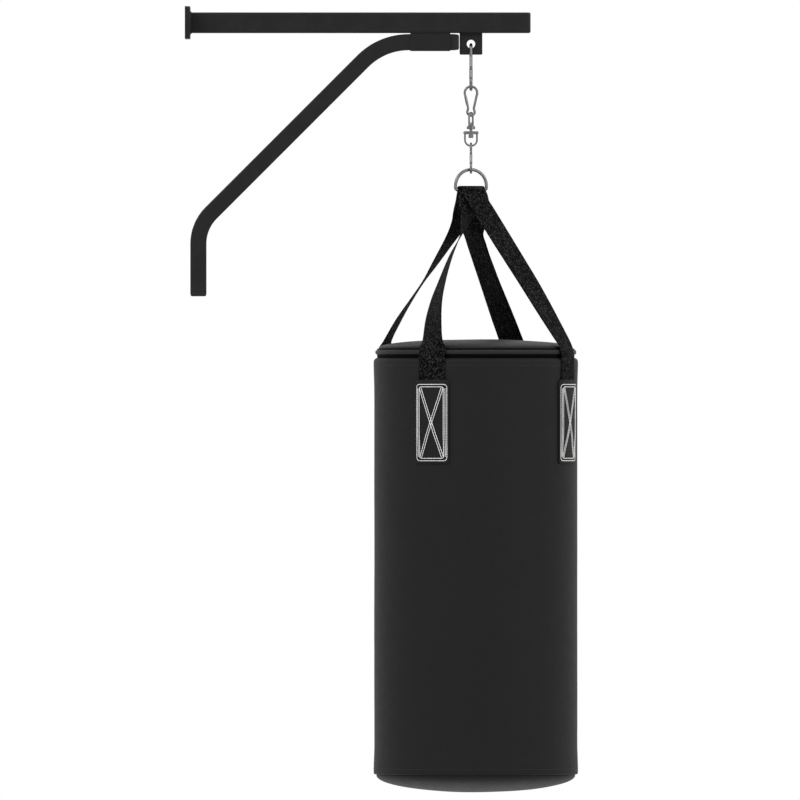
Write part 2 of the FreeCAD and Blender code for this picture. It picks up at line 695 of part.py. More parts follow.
def make_bag_shell():
    """The open tube of bag cloth, turned in a little at both hems."""
    def profile(radius, low, high):
        return [(radius - HEM_R * 0.7, low), (radius - HEM_R * 0.2, low + HEM_R * 0.6),
                (radius, low + HEM_R * 2),
                (radius, high - SHOULDER_R), (radius - SHOULDER_R * 0.35, high - SHOULDER_R * 0.3),
                (radius - SHOULDER_R, high)]
    outside = revolved([(0, BODY_BOTTOM_Z)] + profile(BODY_R, BODY_BOTTOM_Z, BODY_TOP_Z) + [(0, BODY_TOP_Z)])
    inside_r = BODY_R - SHELL_THICK
    inside = revolved([(0, BODY_BOTTOM_Z - 1)] + [(inside_r - 3, BODY_BOTTOM_Z - 1),
                      (inside_r - 3, BODY_BOTTOM_Z),
                      (inside_r, BODY_BOTTOM_Z + HEM_R * 2), (inside_r, BODY_TOP_Z - SHOULDER_R - 1),
                      (inside_r - 6, BODY_TOP_Z), (inside_r - 6, BODY_TOP_Z + 1), (0, BODY_TOP_Z + 1)])
    return outside.cut(inside)


def make_bag_filling():
    inside_r = BODY_R - SHELL_THICK - FIT_GAP
    low = BODY_BOTTOM_Z + 0.2
    high = BODY_TOP_Z - 0.2
    return revolved([(0, low), (inside_r - 3.4, low), (inside_r - 0.4, low + HEM_R * 2 + 1),
                     (inside_r - 0.4, high - SHOULDER_R - 2), (inside_r - 6.4, high), (0, high)])


def make_rim_band():
    low, high = RIM_Z
    inner = RIM_R - RIM_THICK
    cut = RIM_ROUND
    return revolved([(inner, low), (RIM_R - cut, low), (RIM_R - cut * 0.3, low + cut * 0.3),
                     (RIM_R, low + cut),
                     (RIM_R, high - cut), (RIM_R - cut * 0.3, high - cut * 0.3), (RIM_R - cut, high),
                     (inner, high)])


def make_bag_top():
    low, high = TOP_DOME_Z
    outer = [(r, low + h) for r, h in half_ellipse(TOP_DOME_R, high - low, 0, 7)]
    inner = [(r, low + h) for r, h in half_ellipse(TOP_DOME_R, high - low, COVER_THICK, 7)]
    return revolved(outer + inner[::-1])


def make_bag_bottom():
    low, high = BOTTOM_DOME_Z
    outer = [(r, high - h) for r, h in half_ellipse(BOTTOM_DOME_R, high - low, 0, 9)]
    inner = [(r, high - h) for r, h in half_ellipse(BOTTOM_DOME_R, high - low, COVER_THICK, 9)]
    return revolved(outer + inner[::-1])


def build():
    """Every node by name."""
    nodes = {
        "wall_plate": make_wall_plate(),
        "arm_tube": make_arm_tube(),
        "arm_end_cap": make_arm_end_cap(),
        "brace_tube": make_brace_tube(),
        "brace_sleeve": make_brace_sleeve(),
        "hanger_lug": make_hanger_lug(),
    }
    across = Vector(0, 1, 0)
    top_face = Vector(BRACE_TOP_X, 0, BRACE_TOP_Z)
    foot_face = Vector(BRACE_LEG_X, 0, BRACE_FOOT_Z)
    shape = (BRACE_SIDE, BRACE_WALL, BRACE_CORNER)
    nodes["brace_top_plug"] = plug(top_face, Vector(1, 0, 0), *shape, PLUG_LENGTH,
                                   PLUG_LIP, PLUG_INSERT, across)
    nodes["brace_foot_plug"] = plug(foot_face, UP * -1, *shape, FOOT_PLUG_LENGTH,
                                    PLUG_LIP, PLUG_INSERT, across)

    places = hook_placements()
    for name, size in (("upper", LARGE_HOOK), ("middle", SMALL_HOOK), ("lower", SMALL_HOOK)):
        body, gate, pin, pin_at = snap_hook(size)
        nodes[name + "_hook"] = placed(body, places[name])
        nodes[name + "_hook_gate"] = placed(gate, places[name])
        nodes[name + "_hook_gate_pin"] = placed(pin, places[name])
        at = places[name].multVec(pin_at)
        print(name, "gate pin at", [round(v, 3) for v in at])

    nodes["swivel_eye"] = make_swivel_eye(places["middle_narrow_z"])
    nodes["swivel_rivet"] = make_swivel_rivet()
    nodes["swivel_yoke"] = make_swivel_yoke()
    bar_z = ring_bar_z(places["lower_wide_z"])
    nodes["d_ring"] = make_d_ring(bar_z)
    for name, (first, second, loop_r) in STRAPS.items():
        nodes[name] = make_strap(first, second, loop_r, bar_z)
    for name, leg in LEGS.items():
        nodes["patch_" + name] = make_patch(leg["azimuth"])
    nodes["bag_shell"] = make_bag_shell()
    nodes["bag_filling"] = make_bag_filling()
    nodes["rim_band"] = make_rim_band()
    nodes["bag_top"] = make_bag_top()
    nodes["bag_bottom"] = make_bag_bottom()
    print("heights", {k: round(v, 3) for k, v in places.items() if isinstance(v, float)},
          "bar", round(bar_z, 3))
    return nodes


os.makedirs("parts", exist_ok=True)
for node, solid in build().items():
    solid.exportStep(os.path.join("parts", node + ".step"))
    print(node, "valid", solid.isValid(), "solids", len(solid.Solids), "cm3", round(solid.Volume / 1000, 3))
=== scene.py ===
import math

import bpy
import numpy as np
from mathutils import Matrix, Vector, noise


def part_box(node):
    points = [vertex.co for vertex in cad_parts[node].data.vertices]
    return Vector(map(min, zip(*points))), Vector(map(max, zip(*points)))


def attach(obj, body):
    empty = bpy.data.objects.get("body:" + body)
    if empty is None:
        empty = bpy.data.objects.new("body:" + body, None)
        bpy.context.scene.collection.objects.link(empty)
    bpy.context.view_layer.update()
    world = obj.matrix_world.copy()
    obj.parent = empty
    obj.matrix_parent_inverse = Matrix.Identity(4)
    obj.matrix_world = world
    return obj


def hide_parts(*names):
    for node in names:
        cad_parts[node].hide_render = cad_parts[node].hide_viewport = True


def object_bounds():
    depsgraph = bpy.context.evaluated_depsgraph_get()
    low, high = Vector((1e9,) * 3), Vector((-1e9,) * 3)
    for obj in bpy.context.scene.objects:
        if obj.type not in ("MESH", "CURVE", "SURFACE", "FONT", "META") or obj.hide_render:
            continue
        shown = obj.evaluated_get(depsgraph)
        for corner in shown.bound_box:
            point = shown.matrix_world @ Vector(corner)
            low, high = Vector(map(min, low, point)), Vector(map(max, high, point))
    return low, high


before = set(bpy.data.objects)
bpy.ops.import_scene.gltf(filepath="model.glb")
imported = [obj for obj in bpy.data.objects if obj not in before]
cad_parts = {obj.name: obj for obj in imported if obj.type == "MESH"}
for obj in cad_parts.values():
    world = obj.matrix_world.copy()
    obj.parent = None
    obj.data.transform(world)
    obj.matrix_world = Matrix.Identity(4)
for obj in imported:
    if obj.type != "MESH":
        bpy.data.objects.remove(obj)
cad_low, cad_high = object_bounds()

# Looks for a punching bag that hangs from a wall bracket. The frame is the CAD's: +X away from the
# wall, +Y along it and +Z up. Points are in millimetres until mesh_piece turns them into metres.

MM = 0.001
UP = np.array((0.0, 0.0, 1.0))


def cad_box(node):
    """A CAD node's lowest and highest corner in millimetres."""
    low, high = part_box(node)
    return np.array(low) / MM, np.array(high) / MM


shell_low, shell_high = cad_box("bag_shell")
rim_low, rim_high = cad_box("rim_band")
top_low, top_high = cad_box("bag_top")
bottom_low, bottom_high = cad_box("bag_bottom")
ring_low, ring_high = cad_box("d_ring")
patch_low, patch_high = cad_box("patch_front_left")
arm_low, arm_high = cad_box("arm_tube")
plate_high = cad_box("wall_plate")[1]
lug_low, lug_high = cad_box("hanger_lug")
sleeve_low, sleeve_high = cad_box("brace_sleeve")

# Bag
BAG_X = (shell_low[0] + shell_high[0]) / 2
BAG_TURN = 19.4
BODY_R = (shell_high[0] - shell_low[0]) / 2
BODY_BOTTOM = shell_low[2]
BODY_TOP = shell_high[2]
SHOULDER_R = 6.5
HEM_R = 3.2
BODY_ROWS = 120
BODY_COLUMNS = 192
SWELL_START = 1.0
SWELL_CAP = 1.5
NECK_INSET = 2.8
BEAD_DEEP = 2.6
BEAD_TALL = 3.5
BEAD_DROP = 5.8
SEAM_WIDE = 14.0
SEAM_PROUD = 0.9

# Webbing, in the places that its CAD solids take
RING_WIRE = 2.5
HANG_X = (ring_low[0] + ring_high[0]) / 2
BAR_Z = ring_low[2] + RING_WIRE
WEB_WIDE = 45.0
WEB_WIDE_AT_RING = 41.5
WEB_THICK = 1.5
WEB_GAP = 0.3
INNER_LOOP_R = 3.85
OUTER_LOOP_R = 5.6
LEG_LEAN = 28.0
# Each leg: the angle of its patch round the bag from the front (+ towards +X). Then, for each share
# of the way from the ring to the rim, how far it has turned about its own length, in degrees from
# the ring's bar, and how far it bows along X and along Y.
LEGS = {
    "front_right": {
        "azimuth": 64.4, "last_turn": 45.0,
        "turns": ((0, 0), (0.04, 8), (0.08, 19), (0.12, 20), (0.34, 23), (0.63, 27), (0.8, 32),
                  (1, 42)),
        "bows": ((0, 0, 0), (0.08, -2, -0.8), (0.34, -1, -0.4), (0.63, 1, 0), (1, 0, 0)),
    },
    "back_right": {
        "azimuth": 158.0, "last_turn": -41.4,
        "turns": ((0, 0), (0.08, -2), (0.15, -12), (0.2, -26), (0.25, -48), (0.3, -68), (0.43, -69),
                  (0.63, -65), (0.8, -57), (1, -50)),
        "bows": ((0, 0, 0), (0.1, -6, 4), (0.29, -14, 5), (0.43, -12.5, 2), (0.63, -8.5, 0),
                 (0.8, -4.3, 0), (1, 0, 0)),
    },
    "front_left": {
        "azimuth": -25.6, "last_turn": 135.0,
        "turns": ((0, 0), (0.04, 8), (0.08, 20), (0.16, 43), (0.3, 68), (0.43, 76), (0.61, 84),
                  (0.81, 97), (1, 114)),
        "bows": ((0, 0, 0), (0.08, 2.5, 1.1), (0.18, 4.3, 2), (0.3, 1, 1), (0.45, -7.5, 0),
                 (0.69, -12.5, 0), (0.89, -8.5, 0), (1, -2, 0)),
    },
    "back_left": {
        "azimuth": -115.6, "last_turn": 45.0,
        "turns": ((0, 0), (0.08, 4), (0.15, 12), (0.2, 22), (0.25, 36), (0.32, 47), (0.53, 61), (0.63, 70),
                  (0.82, 60), (1, 53)),
        "bows": ((0, 0, 0), (0.08, 7, 0), (0.2, 14, 0), (0.32, 11.4, 0), (0.53, 6.4, 0), (0.63, 3.4, 0),
                 (0.82, -2.5, 0), (1, -2, 0)),
    },
}
STRAPS = {
    "inner_strap": ("front_left", "back_left", INNER_LOOP_R),
    "outer_strap": ("front_right", "back_right", OUTER_LOOP_R),
}
LEG_SHARES = (0.04, 0.08, 0.12, 0.16, 0.2, 0.25, 0.3, 0.36, 0.42, 0.5, 0.6, 0.72, 0.85, 1.0)
LEG_OVER_RIM = ((4.6, -502.4, 0), (1.7, -508.5, 1), (0.2, -520.0, 1), (0.0, -535.0, 1), (0.0, -640.0, 1))
LEG_RIM_INSET = 8.6
LEG_RIM_RISE = 9.0
LOOP_STEPS = 8
WEB_COLUMNS = 17
WEB_STEP = 3.0

# Sewn patches
PATCH_WIDE = 58.0
PATCH_TOP = patch_high[2]
PATCH_BOTTOM = patch_low[2]
PATCH_THICK = 1.3
PATCH_CORNER = 4.0
STITCH_PITCH = 2.5
STITCH_LONG = 2.25
THREAD_R = 0.56
BOX_CENTRE_Z = -619.6
OUTER_BOX = (51.0, 118.0)
INNER_BOX = (40.5, 110.5)
SIDE_ROW_INSET = 2.6
CROSS_SPREAD = 2.1


# ---------------------------------------------------------------- mesh helpers

def mesh_piece(name, points, faces, body, material, uvs=None):
    """A smooth mesh from millimetre points, riding on a body. uvs has one pair per point."""
    mesh = bpy.data.meshes.new(name)
    mesh.from_pydata((np.asarray(points) * MM).tolist(), [], [tuple(int(i) for i in f) for f in faces])
    mesh.validate()
    mesh.shade_smooth()
    if uvs is not None:
        layer = mesh.uv_layers.new(name="cloth")
        loops = np.zeros(len(mesh.loops), dtype=np.int32)
        mesh.loops.foreach_get("vertex_index", loops)
        layer.data.foreach_set("uv", np.asarray(uvs, float)[loops].ravel())
    piece = bpy.data.objects.new(name, mesh)
    bpy.context.scene.collection.objects.link(piece)
    mesh.materials.append(material)
    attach(piece, body)
    return piece


def grid_faces(rows, columns, wrap=False, start=0):
    """Quads of a grid of points listed row by row; wrap joins the last column to the first."""
    faces = []
    for i in range(rows - 1):
        for j in range(columns if wrap else columns - 1):
            k = (j + 1) % columns
            a, b = start + i * columns + j, start + i * columns + k
            faces.append((a, b, b + columns, a + columns))
    return faces


def between(table, share, column=1):
    """The value in a column at a share, in straight runs between the rows of a table of shares."""
    return float(np.interp(share, [row[0] for row in table], [row[column] for row in table]))


def flat_direction(angle):
    """A level direction, by its angle from +X."""
    return np.array((math.cos(math.radians(angle)), math.sin(math.radians(angle)), 0.0))


def unit(vector):
    return vector / np.linalg.norm(vector)


def waver(x, y, z, size):
    """Smooth unevenness between about -1 and 1, of a given feature size."""
    return noise.noise(Vector((x, y, z)) / size)


def on_bag(azimuth, across, z, height):
    """A point on the bag: across is measured round the surface from an azimuth, height outwards."""
    angle = math.radians(azimuth - 90) + across / BODY_R
    radius = BODY_R + height
    return (BAG_X + radius * math.cos(angle), radius * math.sin(angle), z)


def revolve(profile, columns, uneven=None):
    """Points and faces of a (radius, height) profile turned about the bag's axis."""
    points = []
    for i, (radius, z) in enumerate(profile):
        for j in range(columns):
            angle = 2 * math.pi * j / columns
            rise, out = uneven(i, angle) if uneven else (0.0, 0.0)
            r = radius + out
            points.append((BAG_X + r * math.cos(angle), r * math.sin(angle), z + rise))
    return points, grid_faces(len(profile), columns, wrap=True)


# ---------------------------------------------------------------- materials

class Surface:
    """A material whose node tree is written in a few calls. Coordinates are the object's, in metres."""

    def __init__(self, name, **sockets):
        self.material = bpy.data.materials.new(name)
        self.material.use_nodes = True
        self.tree = self.material.node_tree
        self.shader = self.tree.nodes["Principled BSDF"]
        for key, value in sockets.items():
            self.shader.inputs[key.replace("_", " ")].default_value = value
        self.place = self.tree.nodes.new("ShaderNodeTexCoord").outputs["Object"]

    def link(self, value, socket):
        if isinstance(value, bpy.types.NodeSocket):
            self.tree.links.new(value, socket)
        else:
            socket.default_value = value

    def uv(self):
        node = self.tree.nodes.new("ShaderNodeUVMap")
        node.uv_map = "cloth"
        return node.outputs["UV"]

    def split(self, vector):
        node = self.tree.nodes.new("ShaderNodeSeparateXYZ")
        self.link(vector, node.inputs[0])
        return node.outputs

    def join(self, x, y, z):
        node = self.tree.nodes.new("ShaderNodeCombineXYZ")
        for value, socket in zip((x, y, z), node.inputs):
            self.link(value, socket)
        return node.outputs[0]

    def stretch(self, scale):
        node = self.tree.nodes.new("ShaderNodeMapping")
        self.link(self.place, node.inputs["Vector"])
        node.inputs["Scale"].default_value = scale
        return node.outputs[0]

    def maths(self, operation, a, b=0.0, c=0.0):
        node = self.tree.nodes.new("ShaderNodeMath")
        node.operation = operation
        for value, socket in zip((a, b, c), node.inputs):
            self.link(value, socket)
        return node.outputs[0]

    def noise(self, scale, detail=3.0, rough=0.55, at=None):
        node = self.tree.nodes.new("ShaderNodeTexNoise")
        self.link(self.place if at is None else at, node.inputs["Vector"])
        node.inputs["Scale"].default_value = scale
        node.inputs["Detail"].default_value = detail
        node.inputs["Roughness"].default_value = rough
        return node.outputs[0]

    def cells(self, scale, feature="F1", at=None):
        node = self.tree.nodes.new("ShaderNodeTexVoronoi")
        node.feature = feature
        self.link(self.place if at is None else at, node.inputs["Vector"])
        node.inputs["Scale"].default_value = scale
        return node.outputs["Distance"]

    def speckle(self, at):
        node = self.tree.nodes.new("ShaderNodeTexWhiteNoise")
        self.link(at, node.inputs["Vector"])
        return node.outputs["Value"]

    def range(self, value, low_in, high_in, low_out, high_out):
        node = self.tree.nodes.new("ShaderNodeMapRange")
        for x, socket in zip((value, low_in, high_in, low_out, high_out), node.inputs):
            self.link(x, socket)
        return node.outputs[0]

    def blend(self, share, low, high):
        node = self.tree.nodes.new("ShaderNodeMix")
        node.data_type = "RGBA"
        self.link(share, node.inputs[0])
        self.link(low if isinstance(low, bpy.types.NodeSocket) else (*low, 1.0), node.inputs[6])
        self.link(high if isinstance(high, bpy.types.NodeSocket) else (*high, 1.0), node.inputs[7])
        return node.outputs[2]

    def bump(self, height, depth_mm, strength=1.0, under=None):
        node = self.tree.nodes.new("ShaderNodeBump")
        node.inputs["Strength"].default_value = strength
        node.inputs["Distance"].default_value = depth_mm * MM
        self.link(height, node.inputs["Height"])
        if under is not None:
            self.link(under, node.inputs["Normal"])
        return node.outputs[0]

    def finish(self, color, roughness, normal):
        self.link(color, self.shader.inputs["Base Color"])
        self.link(roughness, self.shader.inputs["Roughness"])
        self.link(normal, self.shader.inputs["Normal"])
        return self.material


def grey(value, warm=0.0):
    return (value * (1 + warm), value, value * (1 - warm))


def powder_coat():
    """Black powder coat on steel: orange peel, a fine tooth and faint handling marks."""
    s = Surface("powder_coat", Specular_IOR_Level=0.2)
    peel = s.noise(420.0, 2.0)
    tooth = s.noise(2600.0, 2.0)
    marks = s.range(s.noise(38.0, 5.0, 0.7), 0.45, 0.7, 0.0, 1.0)
    color = s.blend(marks, grey(0.0055), grey(0.0085))
    rough = s.range(s.maths("ADD", marks, tooth), 0.2, 1.6, 0.42, 0.6)
    return s.finish(color, rough, s.bump(tooth, 0.035, 0.6, s.bump(peel, 0.10, 0.7)))


def moulded_plastic():
    """Black moulded end plugs, a little smoother than the paint."""
    s = Surface("moulded_plastic", Specular_IOR_Level=0.26)
    grain = s.noise(3200.0, 3.0)
    cloud = s.noise(90.0, 3.0)
    color = s.blend(cloud, grey(0.005), grey(0.008))
    rough = s.range(cloud, 0.3, 0.7, 0.34, 0.5)
    return s.finish(color, rough, s.bump(grain, 0.03, 0.6))


def plated_steel(name, low, high, rough_low, rough_high, pit):
    """Zinc-plated steel wire: cloudy plating, drawn scratches and small pits."""
    s = Surface(name, Metallic=1.0)
    cloud = s.noise(190.0, 4.0, 0.65)
    drawn = s.noise(500.0, 3.0, 0.7, s.stretch((6.0, 6.0, 0.5)))
    pits = s.noise(1500.0, 3.0, 0.6)
    tone = s.maths("MULTIPLY_ADD", drawn, 0.45, s.maths("MULTIPLY", cloud, 0.55))
    color = s.blend(s.range(tone, 0.35, 0.65, 0.0, 1.0), grey(low, 0.01), grey(high, 0.01))
    rough = s.range(cloud, 0.3, 0.7, rough_low, rough_high)
    return s.finish(color, rough, s.bump(pits, pit, 0.7, s.bump(drawn, 0.006, 0.6)))


def webbing_cloth():
    """Black woven webbing: offset rows of warp floats and a speckle that is partly worn fibres and partly
    painted glints, lightest on each float's crown with painted shade towards its edges.
    """
    s = Surface("webbing_cloth", Specular_IOR_Level=0.04)
    across, along, _ = s.split(s.uv())
    rib = s.maths("DIVIDE", across, 1.45)
    column = s.maths("FLOOR", rib)
    shift = s.maths("MULTIPLY", s.maths("MODULO", s.maths("ADD", column, 200.0), 2.0), 0.5)
    pick = s.maths("ADD", s.maths("DIVIDE", along, 2.1), shift)
    row = s.maths("FLOOR", pick)
    warp = s.maths("SINE", s.maths("MULTIPLY", s.maths("FRACT", rib), math.pi))
    float_ = s.maths("SINE", s.maths("MULTIPLY", s.maths("FRACT", pick), math.pi))
    yarn = s.maths("MULTIPLY", s.maths("POWER", warp, 0.6), s.maths("POWER", float_, 0.7))
    fleck = s.speckle(s.join(column, row, 0.0))
    wide = s.noise(0.11, 3.0, 0.6, s.join(across, s.maths("MULTIPLY", along, 0.6), 0.0))
    # Bright flecks: partly worn fibres, partly painted glints; times yarn, each is painted lighter on the
    # float's crown and darker as painted shade where it dips under.
    worn_and_glint = s.maths("MULTIPLY", s.range(fleck, 0.5, 1.0, 0.0, 1.0), s.range(wide, 0.35, 0.65, 0.5, 1.0))
    color = s.blend(s.maths("MULTIPLY", worn_and_glint, yarn), grey(0.001), grey(0.07))
    fuzz = s.noise(3.0, 4.0, 0.7, s.join(across, along, 0.0))
    height = s.maths("MULTIPLY_ADD", fuzz, 0.35, yarn)
    return s.finish(color, s.range(fuzz, 0.3, 0.7, 0.62, 0.85), s.bump(height, 0.42, 0.9))


def vinyl(name, low, high, rough, grain_mm=0.07, spec=0.19):
    """Matte black bag vinyl: pebbled grain, faint creases and slow colour changes."""
    s = Surface(name, Specular_IOR_Level=spec)
    pebble = s.cells(780.0, "SMOOTH_F1")
    fine = s.noise(1900.0, 3.0, 0.6)
    crease = s.noise(70.0, 6.0, 0.72)
    cloud = s.noise(9.0, 4.0, 0.6)
    speck = s.range(s.noise(620.0, 2.0, 0.6), 0.3, 0.7, 0.0, 1.0)
    tone = s.maths("MULTIPLY_ADD", speck, 0.6, s.maths("MULTIPLY", cloud, 0.4))
    color = s.blend(tone, grey(low), grey(high))
    roughness = s.range(s.maths("ADD", crease, fine), 0.7, 1.3, rough - 0.06, rough + 0.06)
    base = s.bump(crease, 0.16, 0.35)
    grain = s.maths("MULTIPLY_ADD", fine, 0.5, pebble)
    return s.finish(color, roughness, s.bump(grain, grain_mm, 0.7, base))


def thread(name, value):
    """Twisted sewing thread."""
    s = Surface(name, Sheen_Weight=0.1, Specular_IOR_Level=0.3)
    twist = s.noise(2400.0, 2.0)
    soil = s.noise(60.0, 3.0)
    color = s.blend(s.range(soil, 0.35, 0.7, 0.0, 1.0), grey(value, 0.005), grey(value * 0.86, 0.01))
    return s.finish(color, s.range(twist, 0.3, 0.7, 0.6, 0.8), s.bump(twist, 0.12, 0.8))


PAINT = powder_coat()
PLASTIC = moulded_plastic()
HOOK_STEEL = plated_steel("hook_steel", 0.15, 0.20, 0.22, 0.28, 0.006)
FORGED_STEEL = plated_steel("forged_steel", 0.13, 0.19, 0.25, 0.34, 0.02)
WEBBING = webbing_cloth()
BODY_VINYL = vinyl("bag_vinyl", 0.0028, 0.0064, 0.62)
COVER_VINYL = vinyl("cover_vinyl", 0.0048, 0.0072, 0.56)
RIM_VINYL = vinyl("rim_vinyl", 0.007, 0.0098, 0.58, spec=0.24)
# Painted shade: the neck band is near black and barely shiny, standing in for the shade in the grooves
# beside the rim bead.
NECK_SHADE_VINYL = vinyl("neck_painted_shade", 0.001, 0.0016, 0.75, spec=0.04)
PATCH_VINYL = vinyl("patch_vinyl", 0.003, 0.005, 0.6)
WHITE_THREAD = thread("white_thread", 0.95)
BLACK_THREAD = thread("black_thread", 0.012)

CAD_LOOKS = {
    "wall_plate": PAINT, "arm_tube": PAINT, "brace_tube": PAINT, "brace_sleeve": PAINT, "hanger_lug": PAINT,
    "arm_end_cap": PLASTIC, "brace_top_plug": PLASTIC, "brace_foot_plug": PLASTIC,
    "swivel_eye": FORGED_STEEL, "swivel_rivet": FORGED_STEEL, "swivel_yoke": FORGED_STEEL,
    "d_ring": HOOK_STEEL,
}
for hook in ("upper_hook", "middle_hook", "lower_hook"):
    for node in (hook, hook + "_gate", hook + "_gate_pin"):
        CAD_LOOKS[node] = HOOK_STEEL
for node, material in CAD_LOOKS.items():
    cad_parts[node].data.materials.clear()
    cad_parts[node].data.materials.append(material)


# ---------------------------------------------------------------- stitches

def resampled(path, pitch):
    """Points at an even pitch along a polyline."""
    path = np.asarray(path, float)
    lengths = np.linalg.norm(np.diff(path, axis=0), axis=1)
    along = np.concatenate(([0.0], np.cumsum(lengths)))
    count = max(int(round(along[-1] / pitch)), 1)
    wanted = np.linspace(0.0, along[-1], count + 1)
    return np.stack([np.interp(wanted, along, path[:, k]) for k in range(path.shape[1])], axis=1)


def rounded_box(width, height, radius, centre_z):
    """A closed outline of a rounded rectangle in (across, z)."""
    outline = []
    for corner, (a, b) in enumerate(((1, 1), (-1, 1), (-1, -1), (1, -1))):
        for step in range(7):
            angle = math.radians(90 * corner + 15 * step)
            outline.append((a * (width / 2 - radius) + radius * math.cos(angle),
                            centre_z + b * (height / 2 - radius) + radius * math.sin(angle)))
    return outline + outline[:1]


def stitch_mesh(rows, surface, radius, share):
    """Points and faces of every stitch in some rows; surface(across, z, lift) gives a point."""
    sides = 7
    rings = ((0.0, 0.35), (0.12, 0.8), (0.32, 1.0), (0.68, 1.0), (0.88, 0.8), (1.0, 0.35))
    points = []
    faces = []
    for row in rows:
        for a, b in zip(row, row[1:]):
            start = a + (b - a) * (1 - share) / 2
            end = b - (b - a) * (1 - share) / 2
            first = np.array(surface(*start, 0.0))
            last = np.array(surface(*end, 0.0))
            halfway = (start + end) / 2
            outward = unit(np.array(surface(*halfway, 1.0)) - np.array(surface(*halfway, 0.0)))
            along = unit(last - first)
            side = np.cross(along, outward)
            base = len(points)
            for t, size in rings:
                centre = first + (last - first) * t + outward * radius * (0.55 * size - 0.25)
                for k in range(sides):
                    angle = 2 * math.pi * k / sides
                    ring = side * math.cos(angle) + outward * 0.8 * math.sin(angle)
                    points.append(centre + ring * radius * size)
            faces += grid_faces(len(rings), sides, wrap=True, start=base)
            faces.append(tuple(base + k for k in range(sides))[::-1])
            faces.append(tuple(base + (len(rings) - 1) * sides + k for k in range(sides)))
    return points, faces


# ---------------------------------------------------------------- bag

def body_profile():
    """(radius, height) of the bag's side, from inside the bottom hem to inside the shoulder."""
    low = [(BODY_R - 14.0, BODY_BOTTOM + 0.8), (BODY_R - 7.0, BODY_BOTTOM + 0.2)]
    for k in range(7):
        angle = math.radians(-90 + 15 * k)
        low.append((BODY_R - HEM_R + HEM_R * math.cos(angle), BODY_BOTTOM + HEM_R + HEM_R * math.sin(angle)))
    high = []
    for k in range(9):
        angle = math.radians(90 * k / 8)
        high.append((BODY_R - SHOULDER_R + SHOULDER_R * math.cos(angle),
                     BODY_TOP - SHOULDER_R + SHOULDER_R * math.sin(angle)))
    high += [(BODY_R - 9.0, BODY_TOP + 0.4), (BODY_R - 14.0, BODY_TOP + 0.6)]
    inner = np.linspace(low[-1][1], high[0][1], BODY_ROWS)[1:-1]
    return low + [(BODY_R, z) for z in inner] + high


def swollen(piece, profile):
    """The side after its filling has pushed it out: a cloth simulation with its hems held."""
    group = piece.vertex_groups.new(name="hems")
    rows = len(profile)
    held = [i * BODY_COLUMNS + j for i in range(rows) if i < 8 or i > rows - 9 for j in range(BODY_COLUMNS)]
    group.add(held, 1.0, "REPLACE")
    cloth = piece.modifiers.new("cloth", "CLOTH")
    cloth.settings.quality = 5
    cloth.settings.mass = 0.3
    cloth.settings.tension_stiffness = 40
    cloth.settings.compression_stiffness = 40
    cloth.settings.bending_stiffness = 2.0
    cloth.settings.use_pressure = True
    cloth.settings.uniform_pressure_force = 4.0
    cloth.settings.effector_weights.gravity = 0.0
    cloth.settings.vertex_group_mass = "hems"
    cloth.collision_settings.use_collision = False
    for number in range(1, 21):
        bpy.context.scene.frame_set(number)
    pushed = piece.evaluated_get(bpy.context.evaluated_depsgraph_get()).data
    points = np.array([v.co for v in pushed.vertices]) / MM
    piece.modifiers.remove(cloth)
    bpy.context.scene.frame_set(1)
    return points


def make_body():
    """The padded side of the bag: it starts slightly slim and is swollen out to size."""
    profile = body_profile()
    points, faces = revolve(profile, BODY_COLUMNS)
    rest = np.array(points)
    outward = rest - np.array((BAG_X, 0.0, 0.0))
    outward[:, 2] = 0
    outward /= np.linalg.norm(outward, axis=1)[:, None]
    heights = rest[:, 2]
    free = np.clip(np.minimum(heights - BODY_BOTTOM - 12, BODY_TOP - 14 - heights) / 30, 0, 1)
    slim = rest - outward * (SWELL_START * free)[:, None]
    piece = mesh_piece("bag_body", slim, faces, "bag", BODY_VINYL)
    swell = np.zeros(len(rest))
    swell = ((swollen(piece, profile) - slim) * outward).sum(axis=1)
    swell = np.clip(swell, 0.0, SWELL_CAP)
    lumps = np.array([waver(p[0], p[1], p[2] * 0.7, 85.0) + 0.45 * waver(p[0], p[1], p[2], 32.0)
                      for p in rest])
    tucks = np.array([waver(p[0] * 3, p[1] * 3, 9.0, 26.0) for p in rest])
    near_hem = np.exp(-np.abs(np.minimum(heights - BODY_BOTTOM, BODY_TOP - heights) - 10) / 9)
    out = (swell - SWELL_START) * free + 0.28 * lumps * free + 0.22 * tucks * near_hem
    final = rest + outward * out[:, None]
    piece.data.vertices.foreach_set("co", (final * MM).astype(np.float32).ravel())
    piece.data.update()
    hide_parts("bag_shell", "bag_filling")
    return piece


def dome(name, outline, node, seed, puckers):
    """A sewn disc of vinyl, drawn into small puckers where it meets its seam."""
    columns = 256
    edge = outline[0][0]

    def uneven(i, angle):
        share = outline[i][0] / edge
        pull = max(0.0, (share - 0.72) / 0.28) ** 2
        x = math.cos(angle) * edge * share
        y = math.sin(angle) * edge * share
        fold = waver(math.cos(angle) * 400, math.sin(angle) * 400, seed, 21.0)
        slack = waver(x, y, seed, 60.0)
        return puckers * pull * fold * (1 - share ** 14) + 0.5 * slack * (1 - share ** 4), 0.0

    points, faces = revolve(outline, columns, uneven)
    centre = len(points)
    points.append((BAG_X, 0.0, outline[-1][1]))
    last = centre - columns
    faces += [(last + j, last + (j + 1) % columns, centre) for j in range(columns)]
    piece = mesh_piece(name, points, faces, "bag", COVER_VINYL)
    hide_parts(node)
    return piece


def make_top():
    radius = (top_high[0] - top_low[0]) / 2
    rise = top_high[2] - top_low[2]
    outline = [(radius - 0.5, top_low[2] - 3.0)]
    for k in range(28):
        angle = math.pi / 2 * k / 28
        outline.append((radius * math.cos(angle), top_low[2] + (rise - 0.5) * math.sin(angle) ** 0.92))
    dome("bag_top_cover", outline, "bag_top", 3.0, 0.7)


